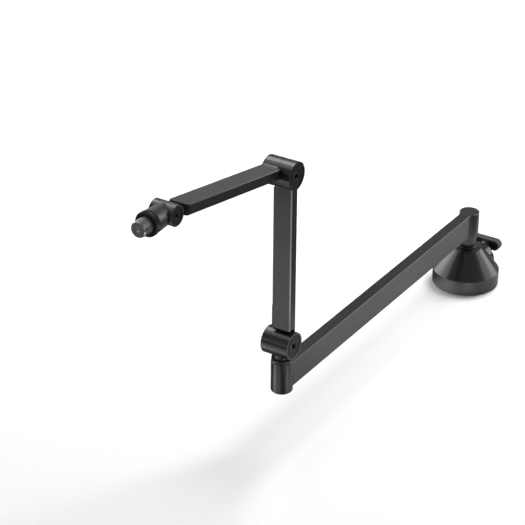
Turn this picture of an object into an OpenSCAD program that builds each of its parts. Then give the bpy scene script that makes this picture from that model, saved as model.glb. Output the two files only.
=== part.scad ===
// Low desk boom arm for a microphone: base, swinging lower arm, tilting upright,
// tilting upper arm and a tilting threaded stud.
// Frame: origin at the centre of the base's underside, +Z up, +X from the base to the
// elbow, +Y to the side where the hinge bolts' heads are.

/* [Base] */
// Diameter of the base
base_d = 80; // [74:1:110]
// Height of the straight rim
rim_h = 18; // [15:0.5:24]
// Diameter of the flat land on top of the cone
land_d = 35; // [30:0.5:42]
// Height of the land's edge
land_z = 47.1; // [45:0.1:49]
// Wall of the cover
cover_wall = 3; // [2:0.1:4]
// Gap between the rim and the desk
rim_lift = 0.5; // [0.3:0.1:1.2]
// Thickness of the rubber ring under the base
pad_t = 1.5; // [1:0.1:2.5]
// Margin of the rubber ring inside the weight plate
pad_margin = 0.7; // [0.3:0.1:6]
// Thickness of the steel weight plate above the rubber ring
plate_t = 7; // [5:0.5:7.5]
// Diameter of the plate's boss that passes through the rubber ring
plate_boss_d = 24; // [18:0.5:30]
// Wall diameter of the threaded hole for the desk bolt
desk_hole_d = 8.5; // [6.8:0.1:10.2]
// Distance from the rim to the cover's screws
screw_inset = 11; // [9.5:0.5:14]
// Diameter of the cover's screws
cover_screw_d = 3; // [2.5:0.5:4]

/* [Clamp screw] */
// Height of the clamp screw's axis
clamp_z = 29.5; // [28:0.1:30]
// Thread diameter of the clamp screw
clamp_d = 6; // [5:0.5:6]
// Distance from the base's axis to the lug's end
lug_reach = 38; // [34:0.5:42]
// Diameter of the lug's round top
lug_d = 38.6; // [37:0.1:42]
// Height of the lug's axis
lug_z = 16.5; // [15:0.1:18]
// Screw length that shows between the lug and the bar handle
bar_gap = 10; // [3:0.5:12]
// Length of the bar handle
bar_len = 39; // [28:0.1:44]
// Height of the bar handle
bar_h = 13.4; // [11:0.1:15]
// Thickness of the bar handle along the screw
bar_t = 10; // [8:0.1:14]
// Spacing of the grip grooves round the bar handle
groove_pitch = 1.8; // [1.5:0.1:3]
// Length of the soft clamp tip that shows outside the screw
tip_len = 4; // [3:0.1:5]

/* [Swivels] */
// Diameter of the spindle and of the elbow stem
shaft_d = 16; // [14:0.5:16]
// Wall of the swivel bushes
bush_wall = 1.6; // [1.2:0.1:1.7]
// Length of the bushes' sleeves
bush_len = 12; // [9:0.5:12]
// Diameter of the bearing ring that shows on the cone
bearing_d = 22.6; // [21:0.1:24]
// Height of the bearing ring
bearing_h = 1.9; // [1.2:0.1:2]
// Gap between the bearing ring and the neck
neck_gap = 0.5; // [0.3:0.1:0.8]
// Diameter of the screws under the spindle and the stem
keeper_d = 5; // [4:0.5:5]
// Height of the keeper screws' heads
keeper_head_h = 2.8; // [2.5:0.1:3]
// Thickness of the keeper washers
keeper_t = 1.5; // [1:0.1:1.8]

/* [Lower arm] */
// Distance from the base's axis to the elbow's axis
reach = 420; // [300:1:480]
// Width of the lower arm
low_w = 13.6; // [12:0.1:16]
// Height of the lower arm
low_h = 29.2; // [26:0.1:32]
// Height of the lower arm's top face above the desk
low_top_z = 94; // [90:0.5:98]
// Diameter of the arm's round end over the base
neck_d = 24; // [22:0.5:26]
// Diameter of the neck just above the bearing ring
neck_low_d = 20; // [19:0.5:21]
// Diameter of the elbow barrel
elbow_d = 23; // [22:0.5:26]
// Height of the elbow barrel's top above the arm's top face
elbow_rise = 7.3; // [5:0.1:9]
// How far the elbow barrel hangs below the arm
elbow_drop = 0.8; // [0:0.1:2]
// Broken edge along the lower arm
low_edge = 0.5; // [0.2:0.1:1]
// Radius of the hollow blend between the arm and the elbow barrel
elbow_blend = 6; // [3:0.5:10]
// Radius of the hollow blend between the arm and the neck
neck_blend = 2.5; // [1:0.5:6]
// Wall of the arms' hollow bars
bar_wall = 2.2; // [1.8:0.1:2.6]
// Thickness of the closing strips
strip_t = 1.8; // [1.2:0.1:2]
// Width of the ledge that each closing strip sits on
strip_ledge = 0.8; // [0.5:0.1:1]

/* [Elbow head] */
// Thickness of the black collar on the elbow barrel
collar_t = 1.8; // [1.2:0.1:2.2]
// Diameter of the black collar
collar_d = 22; // [20:0.5:23]
// Diameter of the post between the collar and the hinge barrel
post_d = 19; // [17:0.5:20]
// Gap between the collar and the hinge barrel
post_gap = 1.6; // [1.2:0.1:4]

/* [Hinges] */
// Diameter of the two large hinge barrels
tilt_d = 29.4; // [28:0.1:32]
// Diameter of the microphone hinge barrel
mic_tilt_d = 20.7; // [20:0.1:23]
// Height of the upper hinge's axis above the lower hinge's axis
rise = 191.5; // [150:0.5:260]
// Near end of the large barrels, from the arm's middle plane
near_y = 14.2; // [13:0.1:16]
// Plane where the lower hinge is split
low_split_y = -7.8; // [-8.5:0.1:-6]
// Far end of the lower hinge barrel
low_far_y = -17; // [-18:0.1:-15.5]
// Plane where the upper hinge is split
top_split_y = -0.5; // [-2:0.1:1]
// Far end of the upper hinge barrel
top_far_y = -18.5; // [-20:0.1:-16]
// Gap between the two halves of a hinge
split_gap = 0.3; // [0.2:0.05:0.5]
// Thread diameter of the large hinge bolts
bolt_d = 8; // [6:0.5:9]
// Thread diameter of the microphone hinge bolt
mic_bolt_d = 6; // [4:0.5:6]
// Rim left round a bolt's head in the large barrels
head_rim = 2.6; // [2:0.1:4]
// Rim left round a bolt's head in the microphone hinge
mic_head_rim = 2; // [1.6:0.1:3]
// Thickness of a bolt's wide head
head_t = 2.3; // [1.8:0.1:2.6]
// Depth of a bolt's head below the barrel's end
head_sink = 0.3; // [0.1:0.1:0.6]
// Size across flats of the large bolts' hex socket
socket_af = 5; // [4:0.5:5]
// Size across flats of the microphone hinge bolt's socket
mic_socket_af = 4; // [3:0.5:4]
// Depth of the hex sockets
socket_depth = 4.5; // [3:0.1:6]
// Depth that a friction disc is let into its barrel
disc_sink = 0.8; // [0.6:0.1:1.2]
// Thickness of a large hinge nut
nut_t = 3; // [2.5:0.1:3.2]
// Thickness of a large hinge's spring washer
spring_t = 1; // [0.6:0.1:1.1]
// Thickness of a large hinge's end cap
cap_t = 1.2; // [0.8:0.1:1.3]

/* [Upright] */
// Width of the upright
up_w = 21.6; // [20:0.1:24]
// Thickness of the upright
up_t = 11.2; // [10:0.1:13]
// Broken edge along the upright
up_edge = 1; // [0.3:0.1:1.5]
// Shift of the upright toward the near side
up_shift = 1.4; // [0:0.1:2]
// Radius of the round cut-out at the upright's foot
foot_r = 19.5; // [17:0.1:22]
// Gap between the upright's back and the lower hinge barrel
foot_gap = 0.5; // [0.3:0.1:1.5]
// Clearance of a bar round a turning knuckle
knuckle_gap = 1.3; // [0.8:0.1:2]
// Height of the bracket that ties the far ear to the upright
bracket_h = 36; // [30:0.5:44]
// How far the bracket's ear stays behind the upright's front face
bracket_back = 12.2; // [11:0.1:14]
// Thickness of the bracket behind the upright
bracket_t = 4; // [3:0.1:6]

/* [Upper arm] */
// Distance between the upper arm's two hinge axes
arm_len = 190.6; // [150:0.2:260]
// Width of the upper arm
arm_w = 22.2; // [20:0.1:24]
// Thickness of the upper arm
arm_t = 10.7; // [9.5:0.1:12]
// Broken edge along the upper arm
arm_edge = 0.7; // [0.3:0.1:1.5]
// Shift of the upper arm toward the far side
arm_shift = 7.3; // [6:0.1:8]
// Height of the arm's middle above the line between its hinges' frames
arm_lift = 2.2; // [0:0.1:3]
// Rise of the upper arm from the horizontal, in degrees
arm_rise = 9.66; // [0:0.01:30]
// Distance from the microphone hinge to the arm's end face
end_r = 18.8; // [15:0.1:24]
// Radius of the arm's outer corners
corner_r = 4; // [1:0.1:6]
// Radius of the blend between the arm and its knuckle
arm_blend = 3; // [1:0.1:5]

/* [Microphone mount] */
// Near end of the microphone hinge barrel
mic_near_y = 5.5; // [4.5:0.1:7]
// Plane where the microphone hinge is split
mic_split_y = -12.4; // [-15.6:0.1:-11.5]
// Far end of the microphone hinge barrel
mic_far_y = -19.3; // [-22:0.1:-18.5]
// Dip of the stub below the horizontal, in degrees
mic_dip = 0; // [-20:0.5:30]
// Step between the hinge barrel's radius and the stub's root
root_step = 0.15; // [0.1:0.05:1]
// Diameter of the stub at the lock ring
stub_d = 23.6; // [21:0.1:24]
// Distance from the hinge axis to the stub's end face
stub_len = 24; // [21:0.5:32]
// Diameter of the knurled lock ring
ring_d = 24.4; // [22:0.1:26]
// Length of the lock ring
ring_len = 5; // [4:0.1:8]
// Number of teeth on the lock ring
ring_teeth = 60; // [40:2:80]
// Depth of the teeth
tooth_h = 0.5; // [0.3:0.05:0.8]
// Diameter of the microphone thread
stud_d = 15.88; // [12:0.01:16]
// Length of the stud that stands out of the lock ring
stud_out = 12; // [10:0.5:16]
// Length of the stud that is fixed in the stub
stud_in = 7; // [5:0.5:9]
// Length of the relief groove in the stud in front of the lock ring
groove_len = 1.4; // [0.9:0.1:2]
// Depth of the relief groove
groove_depth = 0.4; // [0.2:0.1:0.8]
// Thickness of the thrust washer behind the lock ring
thrust_t = 0.9; // [0.6:0.1:1.5]

/* [Fits] */
// Radial clearance of turning shafts
run_gap = 0.05; // [0.02:0.01:0.1]
// Radial clearance of seated pieces
seat_gap = 0.02; // [0.01:0.01:0.05]
// Clearance between faces that slide past each other
face_gap = 0.1; // [0.05:0.05:0.2]

/* [Hidden] */
$fn = 96;
eps = 0.01;
satin_black = [0.16, 0.16, 0.17];
deep_black = [0.05, 0.05, 0.05];
steel = [0.62, 0.62, 0.64];
brass = [0.72, 0.58, 0.32];
rubber = [0.07, 0.07, 0.07];
nylon = [0.85, 0.84, 0.8];

// Base: radii and heights
base_r = base_d / 2;
land_r = land_d / 2;
land_rise = 0.5;
cover_top = land_z + land_rise;
plate_z = pad_t;
plate_top = plate_z + plate_t;
plate_r = base_r - cover_wall - 0.3;
pad_r = plate_r - pad_margin;
screw_circle_r = base_r - screw_inset;
shaft_r = shaft_d / 2;
bush_in = shaft_r + run_gap;
bush_out = shaft_r + bush_wall;
bore_r = bush_out + seat_gap;
hub_r = bore_r + 3.4;
hub_z = 14;
keep_gap = 0.3;
cone_run = base_r - land_r;
cone_up = land_z - rim_h;
cone_len = sqrt(cone_run * cone_run + cone_up * cone_up);
cone_in = cover_wall * cone_len / cone_up;
in_r = base_r - cover_wall;
ceil_z = land_z - cover_wall;
// Height of the cone's inner face at a radius
function cone_in_z(r) = rim_h + (base_r - cone_in - r) * cone_up / cone_run;
// Radius of the cone's inner face at a height
function cone_in_r(z) = base_r - cone_in - (z - rim_h) * cone_run / cone_up;

// Clamp
clamp_r = clamp_d / 2;
clamp_hole_r = clamp_r + run_gap;
tip_r = clamp_r - 0.4;
tip_x = shaft_r + face_gap;
tip_pin_r = 1.2;
tip_pin_len = 3;
screw_x = tip_x + tip_len;
bar_x = lug_reach + bar_gap;

// Neck and lower arm heights
neck_z = cover_top + 0.5 + bearing_h + neck_gap;
low_z = low_top_z - low_h;
spindle_top = low_z + 13;
spindle_z = hub_z - keep_gap;
elbow_z = low_z - elbow_drop;
elbow_top = low_top_z + elbow_rise;
elbow_r = elbow_d / 2;
neck_r = neck_d / 2;
cap_bevel = 0.8;
ledge_z = elbow_z + 6.5;
ledge_t = 1.5;
ledge_hole_r = shaft_r + 0.6;
stem_z = ledge_z - keep_gap;
plug_t = 1.5;
flange_t = 1;
collar_z = elbow_top + flange_t + face_gap;
post_z = collar_z + collar_t;
tilt_r = tilt_d / 2;
tilt_z = post_z + post_gap + tilt_r;
top_z = tilt_z + rise;
keeper_r = keeper_d / 2;
keeper_head_r = keeper_r * 1.7;
keeper_len = 14;
spindle_washer_r = bore_r + 0.9;
elbow_washer_r = bush_out - 0.3;

// Hinges
low_ear_y = low_split_y - split_gap;
top_ear_y = top_split_y - split_gap;
mic_ear_y = mic_split_y - split_gap;
bolt_r = bolt_d / 2;
mic_bolt_r = mic_bolt_d / 2;
head_r = tilt_r - head_rim;
mic_tilt_r = mic_tilt_d / 2;
mic_head_r = mic_tilt_r - mic_head_rim;
disc_r = tilt_r - 4.2;
mic_disc_r = mic_tilt_r - 2.6;
mic_disc_sink = 0.6;
nut_r = bolt_r + 2.8;
spring_r = bolt_r + 3.4;
mic_nut_r = mic_bolt_r + 1.9;
mic_spring_r = mic_bolt_r + 2.5;
mic_nut_t = 2;
mic_spring_t = 0.5;
mic_cap_t = 0.8;
pocket_gap = 0.15;
ear_gap = 0.3;
cap_depth = cap_t + face_gap;
nut_depth = cap_depth + nut_t + spring_t;
mic_cap_depth = mic_cap_t + face_gap;
mic_nut_depth = mic_cap_depth + mic_nut_t + mic_spring_t;

// Bars
up_y0 = up_shift - up_w / 2;
up_y1 = up_shift + up_w / 2;
arm_y0 = -arm_shift - arm_w / 2;
arm_y1 = -arm_shift + arm_w / 2;
arm_z0 = arm_lift - arm_t / 2;
arm_z1 = arm_lift + arm_t / 2;
arm_end = arm_len - end_r;
cut_r = tilt_r + knuckle_gap;
strip_gap = 0.1;
bite = 0.03;
blend_in = low_edge + bite;
knuckle_step = 0.05;

// Microphone mount
stub_r = stub_d / 2;
ear_gap_r = mic_tilt_r + knuckle_gap;
thrust_x = stub_len + 0.02;
ring_x = thrust_x + thrust_t + 0.02;
stud_r = stud_d / 2;
stud_end = ring_x + ring_len + stud_out;
groove_x = ring_x + ring_len + 0.1;

// Cylinder along Y from y0 to y1
module ycyl(r, y0, y1) {
  translate([0, y1, 0]) rotate([90, 0, 0]) cylinder(h = y1 - y0, r = r);
}

// Ring along Z
module ring(ro, ri, z0, z1) {
  translate([0, 0, z0]) rotate_extrude() translate([ri, 0]) square([ro - ri, z1 - z0]);
}

// Block given by its two corners
module block(a, b) {
  translate(a) cube(b - a);
}

// Outline of a bar with its edges broken by c
module section(a, b, c) {
  polygon([[a[0] + c, a[1]], [b[0] - c, a[1]], [b[0], a[1] + c], [b[0], b[1] - c],
    [b[0] - c, b[1]], [a[0] + c, b[1]], [a[0], b[1] - c], [a[0], a[1] + c]]);
}

// Bar along X from x0 to x1, whose section is in Y and Z
module xbar(x0, x1, a, b, c) {
  translate([x0, 0, 0]) rotate([90, 0, 90]) linear_extrude(height = x1 - x0) section(a, b, c);
}

// Hex prism along Y, size across flats
module yhex(af, y0, y1) {
  translate([0, y1, 0]) rotate([90, 0, 0]) cylinder(h = y1 - y0, r = af / sqrt(3), $fn = 6);
}

// Frames of the hinges
module at_elbow() {
  translate([reach, 0, 0]) children();
}
module at_low_tilt() {
  translate([reach, 0, tilt_z]) children();
}
module at_top_tilt() {
  translate([reach, 0, top_z]) rotate([0, -arm_rise, 0]) children();
}
module at_mic_tilt() {
  at_top_tilt() translate([arm_len, 0, arm_lift]) rotate([0, arm_rise + mic_dip, 0]) children();
}

// Hollow blend between a round end of radius rc and a bar of half width w, toward +X;
// its arc crosses both by a hair, so that no edge is a knife edge
module blend_half(rc, w, f) {
  yc = w + f - bite;
  rr = rc + f - bite;
  xc = sqrt(rr * rr - yc * yc);
  difference() {
    polygon([[0, 0], [xc, 0], [xc, w - bite], [rc * xc / rr, rc * yc / rr]]);
    translate([xc, yc]) circle(r = f);
  }
}
module blend(rc, w, f) {
  blend_half(rc, w, f);
  mirror([0, 1]) blend_half(rc, w, f);
}

// Pieces of a hinge, for any of the three
module hinge_bolt(y_near, y_far, hr, br, af) {
  difference() {
    union() {
      ycyl(hr, y_near - head_sink - head_t, y_near - head_sink);
      ycyl(br, y_far, y_near - head_sink - head_t + eps);
    }
    yhex(af, y_near - head_sink - socket_depth, y_near + 1);
  }
}
module hinge_ring(ro, ri, y0, y1) {
  difference() {
    ycyl(ro, y0, y1);
    ycyl(ri, y0 - 1, y1 + 1);
  }
}
module hinge_nut(r, ri, y0, y1) {
  difference() {
    yhex(r * sqrt(3), y0, y1);
    ycyl(ri, y0 - 1, y1 + 1);
  }
}

// Base pieces
module base_pad() {
  color(rubber) ring(pad_r, plate_boss_d / 2 + 0.3, 0, pad_t);
}

module screw_spots() {
  for (a = [0, 120, 240]) rotate([0, 0, a]) translate([screw_circle_r, 0, 0]) children();
}

module base_plate() {
  color(deep_black) difference() {
    union() {
      translate([0, 0, plate_z]) cylinder(h = plate_t, r = plate_r);
      cylinder(h = plate_z + 1, r = plate_boss_d / 2);
    }
    translate([0, 0, -1]) cylinder(h = plate_top + 2, r = desk_hole_d / 2);
    screw_spots() {
      translate([0, 0, plate_z - 1]) cylinder(h = plate_t + 2, r = cover_screw_d / 2 + 0.2);
      translate([0, 0, plate_z - 1]) cylinder(h = cover_screw_d + 1, r = cover_screw_d + 0.2);
    }
  }
}

module cover_screw(a) {
  color(steel) rotate([0, 0, a]) translate([screw_circle_r, 0, plate_z]) difference() {
    union() {
      translate([0, 0, 0.2]) cylinder(h = cover_screw_d - 0.2, r = cover_screw_d);
      cylinder(h = plate_t + 8, r = cover_screw_d / 2);
    }
    translate([0, 0, -1]) cylinder(h = 2.6, r = cover_screw_d / 2 - 0.3, $fn = 6);
  }
}
module cover_screw_a() {
  cover_screw(0);
}
module cover_screw_b() {
  cover_screw(120);
}
module cover_screw_c() {
  cover_screw(240);
}

module cover_shell() {
  rotate_extrude() polygon([[bore_r, cover_top], [neck_r, cover_top], [land_r, land_z],
    [base_r, rim_h], [base_r, rim_lift], [in_r, rim_lift], [in_r, cone_in_z(in_r)],
    [cone_in_r(ceil_z), ceil_z], [hub_r, ceil_z], [hub_r, hub_z], [bore_r, hub_z]]);
}

module base_cover() {
  color(satin_black) difference() {
    union() {
      cover_shell();
      intersection() {
        translate([-lug_reach, 0, lug_z]) rotate([0, 90, 0])
          cylinder(h = lug_reach - hub_r + 1, r = lug_d / 2);
        block([-lug_reach - 1, -lug_d, rim_lift], [0, lug_d, lug_z + lug_d]);
      }
      intersection() {
        screw_spots() translate([0, 0, plate_top + 0.1]) cylinder(h = cone_up, r = cover_screw_d + 1);
        rotate_extrude() polygon([[1, 0], [base_r - 1, 0], [base_r - 1, rim_h],
          [land_r - 1, land_z], [1, land_z]]);
      }
    }
    translate([0, 0, rim_lift - 1]) cylinder(h = plate_top + 0.1 - rim_lift + 1, r = in_r);
    translate([0, 0, hub_z - 1]) cylinder(h = cover_top, r = bore_r);
    translate([-lug_reach - 1, 0, clamp_z]) rotate([0, 90, 0])
      cylinder(h = lug_reach, r = clamp_hole_r);
    screw_spots() translate([0, 0, plate_top - 1]) cylinder(h = 10, r = cover_screw_d / 2 + seat_gap);
  }
}

module base_bush_top() {
  z0 = cover_top - bush_len;
  z1 = cover_top + 0.5;
  color(satin_black) rotate_extrude() polygon([[bush_in, z0], [bush_out, z0],
    [bush_out, cover_top], [bearing_d / 2 - 0.5, cover_top], [bearing_d / 2 - 0.5, z1],
    [bearing_d / 2, z1], [bearing_d / 2, z1 + bearing_h - 0.5],
    [bearing_d / 2 - 0.5, z1 + bearing_h], [bush_in + 1.1, z1 + bearing_h],
    [bush_in + 1.1, neck_z - face_gap], [bush_in, neck_z - face_gap]]);
}

module base_bush_low() {
  color(brass) ring(bush_out, bush_in, hub_z, hub_z + bush_len);
}

// Clamp pieces, along -X
module clamp_frame() {
  translate([0, 0, clamp_z]) rotate([0, -90, 0]) children();
}

module clamp_tip() {
  color(nylon) clamp_frame() {
    translate([0, 0, tip_x]) cylinder(h = tip_len, r = tip_r);
    translate([0, 0, tip_x + tip_len - eps]) cylinder(h = tip_pin_len, r = tip_pin_r);
  }
}

module clamp_screw() {
  color(steel) clamp_frame() difference() {
    translate([0, 0, screw_x + 0.02]) cylinder(h = bar_x + bar_t - screw_x - 1, r = clamp_r);
    translate([0, 0, screw_x - 1]) cylinder(h = tip_pin_len + 1.5, r = tip_pin_r + run_gap);
  }
}

// Outline of the bar handle with its grip grooves
module bar_outline() {
  half = bar_len / 2 - bar_h / 2;
  r = bar_h / 2;
  n = floor(2 * half / groove_pitch);
  m = floor(PI * r / groove_pitch);
  difference() {
    union() {
      square([2 * half, bar_h], center = true);
      for (s = [-1, 1]) translate([s * half, 0]) circle(r = r);
    }
    for (i = [0:n], s = [-1, 1])
      translate([(i - n / 2) * groove_pitch, s * (r + 0.35)]) circle(r = 0.6, $fn = 16);
    for (i = [1:m - 1], s = [-1, 1])
      translate([s * half, 0]) rotate(-90 + 180 * i / m + (s < 0 ? 180 : 0))
        translate([r + 0.35, 0]) circle(r = 0.6, $fn = 16);
  }
}

module clamp_bar() {
  color(deep_black) clamp_frame() difference() {
    translate([0, 0, bar_x]) linear_extrude(height = bar_t) rotate(90) bar_outline();
    translate([0, 0, bar_x - 1]) cylinder(h = bar_t + 2, r = clamp_r + seat_gap);
  }
}

// Lower arm and what turns with it
module lower_arm() {
  xa = neck_r + 6;
  xb = reach - elbow_r - 12;
  wi = low_w / 2 - bar_wall;
  color(satin_black) difference() {
    union() {
      rotate_extrude() polygon([[0, neck_z], [neck_low_d / 2, neck_z], [neck_r, low_z + 0.4],
        [neck_r, low_top_z - cap_bevel], [neck_r - cap_bevel, low_top_z], [0, low_top_z]]);
      xbar(0, reach, [-low_w / 2, low_z], [low_w / 2, low_top_z], low_edge);
      translate([0, 0, low_z + blend_in]) linear_extrude(height = low_h - 2 * blend_in)
        blend(neck_r, low_w / 2, neck_blend);
      at_elbow() rotate_extrude() polygon([[0, elbow_z], [elbow_r - 1.2, elbow_z],
        [elbow_r, elbow_z + 1.2], [elbow_r, elbow_top - 2], [elbow_r - 1.2, elbow_top],
        [0, elbow_top]]);
      at_elbow() translate([0, 0, low_z + blend_in]) linear_extrude(height = low_h - 2 * blend_in)
        mirror([1, 0]) blend(elbow_r, low_w / 2, elbow_blend);
    }
    translate([0, 0, neck_z - 1]) cylinder(h = spindle_top + 0.1 - neck_z + 1, r = shaft_r + seat_gap);
    block([xa, -wi, low_z - 1], [xb, wi, low_top_z - bar_wall - 0.4]);
    block([xa - 2, -wi - strip_ledge, low_z - 1], [xb + 2, wi + strip_ledge, low_z + strip_t]);
    at_elbow() translate([0, 0, ledge_z + ledge_t]) cylinder(h = elbow_top, r = bore_r);
    at_elbow() translate([0, 0, elbow_z - 1]) cylinder(h = elbow_top - elbow_z, r = ledge_hole_r);
    at_elbow() translate([0, 0, elbow_z - 1]) cylinder(h = ledge_z - elbow_z + 1, r = bore_r);
  }
}

module lower_strip() {
  xa = neck_r + 6;
  xb = reach - elbow_r - 12;
  wi = low_w / 2 - bar_wall + strip_ledge - strip_gap;
  color(satin_black) block([xa - 2 + strip_gap, -wi, low_z], [xb + 2 - strip_gap, wi, low_z + strip_t]);
}

module keeper_hole(z) {
  translate([0, 0, z - 1]) cylinder(h = keeper_len + 2, r = keeper_r + seat_gap);
}
module keeper_washer(z, r) {
  ring(r, keeper_r + 0.1, z - keeper_t, z);
}
module keeper_screw(z) {
  z0 = z - keeper_t - keeper_head_h;
  difference() {
    union() {
      translate([0, 0, z0]) cylinder(h = keeper_head_h, r = keeper_head_r);
      translate([0, 0, z0]) cylinder(h = keeper_head_h + keeper_t + keeper_len, r = keeper_r);
    }
    translate([0, 0, z0 - 1]) cylinder(h = keeper_head_h, r = keeper_r * 0.69, $fn = 6);
  }
}

module base_spindle() {
  color(steel) difference() {
    translate([0, 0, spindle_z]) cylinder(h = spindle_top - spindle_z, r = shaft_r);
    keeper_hole(spindle_z);
  }
}
module spindle_washer() {
  color(steel) keeper_washer(spindle_z, spindle_washer_r);
}
module spindle_screw() {
  color(deep_black) keeper_screw(spindle_z);
}

module elbow_bush_top() {
  color(satin_black) at_elbow() rotate_extrude() polygon([[bush_in, elbow_top - bush_len],
    [bush_out, elbow_top - bush_len], [bush_out, elbow_top], [collar_d / 2 - 0.1, elbow_top],
    [collar_d / 2 - 0.1, elbow_top + flange_t], [bush_in, elbow_top + flange_t]]);
}
module elbow_bush_low() {
  z0 = ledge_z + ledge_t;
  color(brass) at_elbow() ring(bush_out, bush_in, z0, z0 + bush_len);
}
module elbow_plug() {
  color(deep_black) at_elbow() translate([0, 0, elbow_z]) cylinder(h = plug_t, r = bush_out);
}

// Elbow head and what turns with it
module elbow_head() {
  color(satin_black) difference() {
    union() {
      at_elbow() translate([0, 0, stem_z]) cylinder(h = tilt_z - stem_z, r = shaft_r);
      at_elbow() translate([0, 0, post_z]) cylinder(h = tilt_z - post_z, r = post_d / 2);
      at_low_tilt() ycyl(tilt_r, low_split_y, near_y);
    }
    at_elbow() keeper_hole(stem_z);
    at_low_tilt() near_bores(near_y, low_split_y, head_r, bolt_r, disc_r, disc_sink);
    at_low_tilt() ycyl(tilt_r + ear_gap, low_far_y - post_d, low_split_y);
  }
}

// What is cut out of the near half of a hinge: bolt hole, head recess and disc recess
module near_bores(yn, ys, hr, br, dr, ds) {
  ycyl(br + run_gap, ys - 1, yn + 1);
  ycyl(hr + 0.1, yn - head_sink - head_t - face_gap, yn + 1);
  ycyl(dr + 0.1, ys - 1, ys + ds);
}
// What is cut out of the far half: bolt hole, nut pocket and cap recess
module far_bores(ys, yf, br, nr, hr, nut_in, cap_in) {
  ycyl(br + seat_gap, yf - 1, ys + 1);
  ycyl(nr, yf - 1, yf + nut_in);
  ycyl(hr + seat_gap, yf - 1, yf + cap_in);
}

module elbow_collar() {
  color(deep_black) at_elbow() ring(collar_d / 2, shaft_r + seat_gap, collar_z, post_z);
}
module elbow_washer() {
  color(steel) at_elbow() keeper_washer(stem_z, elbow_washer_r);
}
module elbow_screw() {
  color(deep_black) at_elbow() keeper_screw(stem_z);
}

// Upright, in the lower hinge's frame
module upright_bar() {
  difference() {
    translate([0, 0, 5]) linear_extrude(height = rise - 5)
      section([-up_t / 2, up_y0], [up_t / 2, up_y1], up_edge);
    ycyl(tilt_r + foot_gap, up_y0 - 1, up_y1 + 1);
    intersection() {
      ycyl(foot_r, up_y0 - 1, up_y1 + 1);
      block([-up_t / 4 - 0.4, up_y0 - 1, 0], [up_t, up_y1 + 1, foot_r]);
    }
    translate([0, 0, rise]) ycyl(cut_r, up_y0 - 1, top_split_y);
    block([-up_t, up_y0 - 1, rise], [up_t, top_split_y, rise + tilt_r]);
  }
}

module upright_bracket() {
  b = bracket_h;
  front_x = up_t / 2 - bracket_back;
  translate([0, low_ear_y, 0]) rotate([90, 0, 0]) linear_extrude(height = low_ear_y - low_far_y)
    polygon([[-13, 0], [-13, b - 6], [-9.5, b], [front_x, b], [front_x, 0]]);
  block([-up_t / 2 - bracket_t, low_ear_y - 1, foot_r + 1.5], [-up_t / 4, up_y1 - 4, b - bite]);
}

module up_pocket() {
  block([-up_t / 2 - 1, up_y0 + bar_wall, bracket_h + 6],
    [up_t / 2 - bar_wall, up_y1 - bar_wall, rise - tilt_r - 10]);
  block([-up_t / 2 - 1, up_y0 + bar_wall - strip_ledge, bracket_h + 4],
    [-up_t / 2 + strip_t, up_y1 - bar_wall + strip_ledge, rise - tilt_r - 8]);
}

module upright() {
  color(satin_black) at_low_tilt() difference() {
    union() {
      upright_bar();
      translate([0, 0, rise]) ycyl(tilt_r, top_split_y, near_y);
      ycyl(tilt_r, low_far_y, low_ear_y);
      upright_bracket();
    }
    translate([0, 0, rise]) near_bores(near_y, top_split_y, head_r, bolt_r, disc_r, disc_sink);
    far_bores(low_ear_y, low_far_y, bolt_r, spring_r + pocket_gap, head_r, nut_depth, cap_depth);
    up_pocket();
  }
}

module upright_strip() {
  g = strip_gap;
  color(satin_black) at_low_tilt()
    block([-up_t / 2, up_y0 + bar_wall - strip_ledge + g, bracket_h + 4 + g],
      [-up_t / 2 + strip_t, up_y1 - bar_wall + strip_ledge - g, rise - tilt_r - 8 - g]);
}

// Loose pieces of the lower hinge, which turn with the upright
module low_tilt_disc() {
  color(brass) at_low_tilt()
    hinge_ring(disc_r, bolt_r + seat_gap, low_ear_y, low_split_y + disc_sink - 0.02);
}
module low_tilt_bolt() {
  color(deep_black) at_low_tilt() hinge_bolt(near_y, low_far_y + cap_depth, head_r, bolt_r, socket_af);
}
module low_tilt_spring() {
  y0 = low_far_y + nut_depth - spring_t;
  color(steel) at_low_tilt() hinge_ring(spring_r, bolt_r + seat_gap, y0, y0 + spring_t);
}
module low_tilt_nut() {
  y0 = low_far_y + cap_depth;
  color(steel) at_low_tilt() hinge_nut(nut_r, bolt_r + seat_gap, y0, y0 + nut_t);
}
module low_tilt_cap() {
  color(satin_black) at_low_tilt() ycyl(head_r, low_far_y, low_far_y + cap_t);
}

// Upper arm, in the upper hinge's frame
module arm_bar() {
  r = corner_r;
  difference() {
    intersection() {
      xbar(0, arm_end, [arm_y0, arm_z0], [arm_y1, arm_z1], arm_edge);
      translate([0, 0, arm_z0 - 1]) linear_extrude(height = arm_t + 2) union() {
        translate([-1, arm_y0 - 1]) square([arm_end - r + 1, arm_w + 2]);
        translate([arm_end - r - 1, arm_y0 + r]) square([r + 2, arm_w - 2 * r]);
        for (y = [arm_y0 + r, arm_y1 - r]) translate([arm_end - r, y]) circle(r = r);
      }
    }
    ycyl(cut_r, top_ear_y, arm_y1 + 1);
    translate([arm_len, 0, arm_lift]) ycyl(end_r - 0.8, arm_y0 - 1, arm_y1 + 1);
  }
}

// Blend between the arm's top face and its knuckle
module knuckle_blend() {
  f = arm_blend;
  translate([0, top_ear_y, 0]) rotate([90, 0, 0])
    linear_extrude(height = top_ear_y - arm_y0 - knuckle_step) blend_half(tilt_r, arm_z1, f);
}

module mic_ear() {
  translate([arm_len, 0, arm_lift]) ycyl(mic_tilt_r, mic_far_y, mic_ear_y);
  block([arm_end - 16, mic_far_y, arm_z0 + arm_edge + bite], [arm_len, mic_ear_y, arm_z1 - 2.4]);
}

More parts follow.
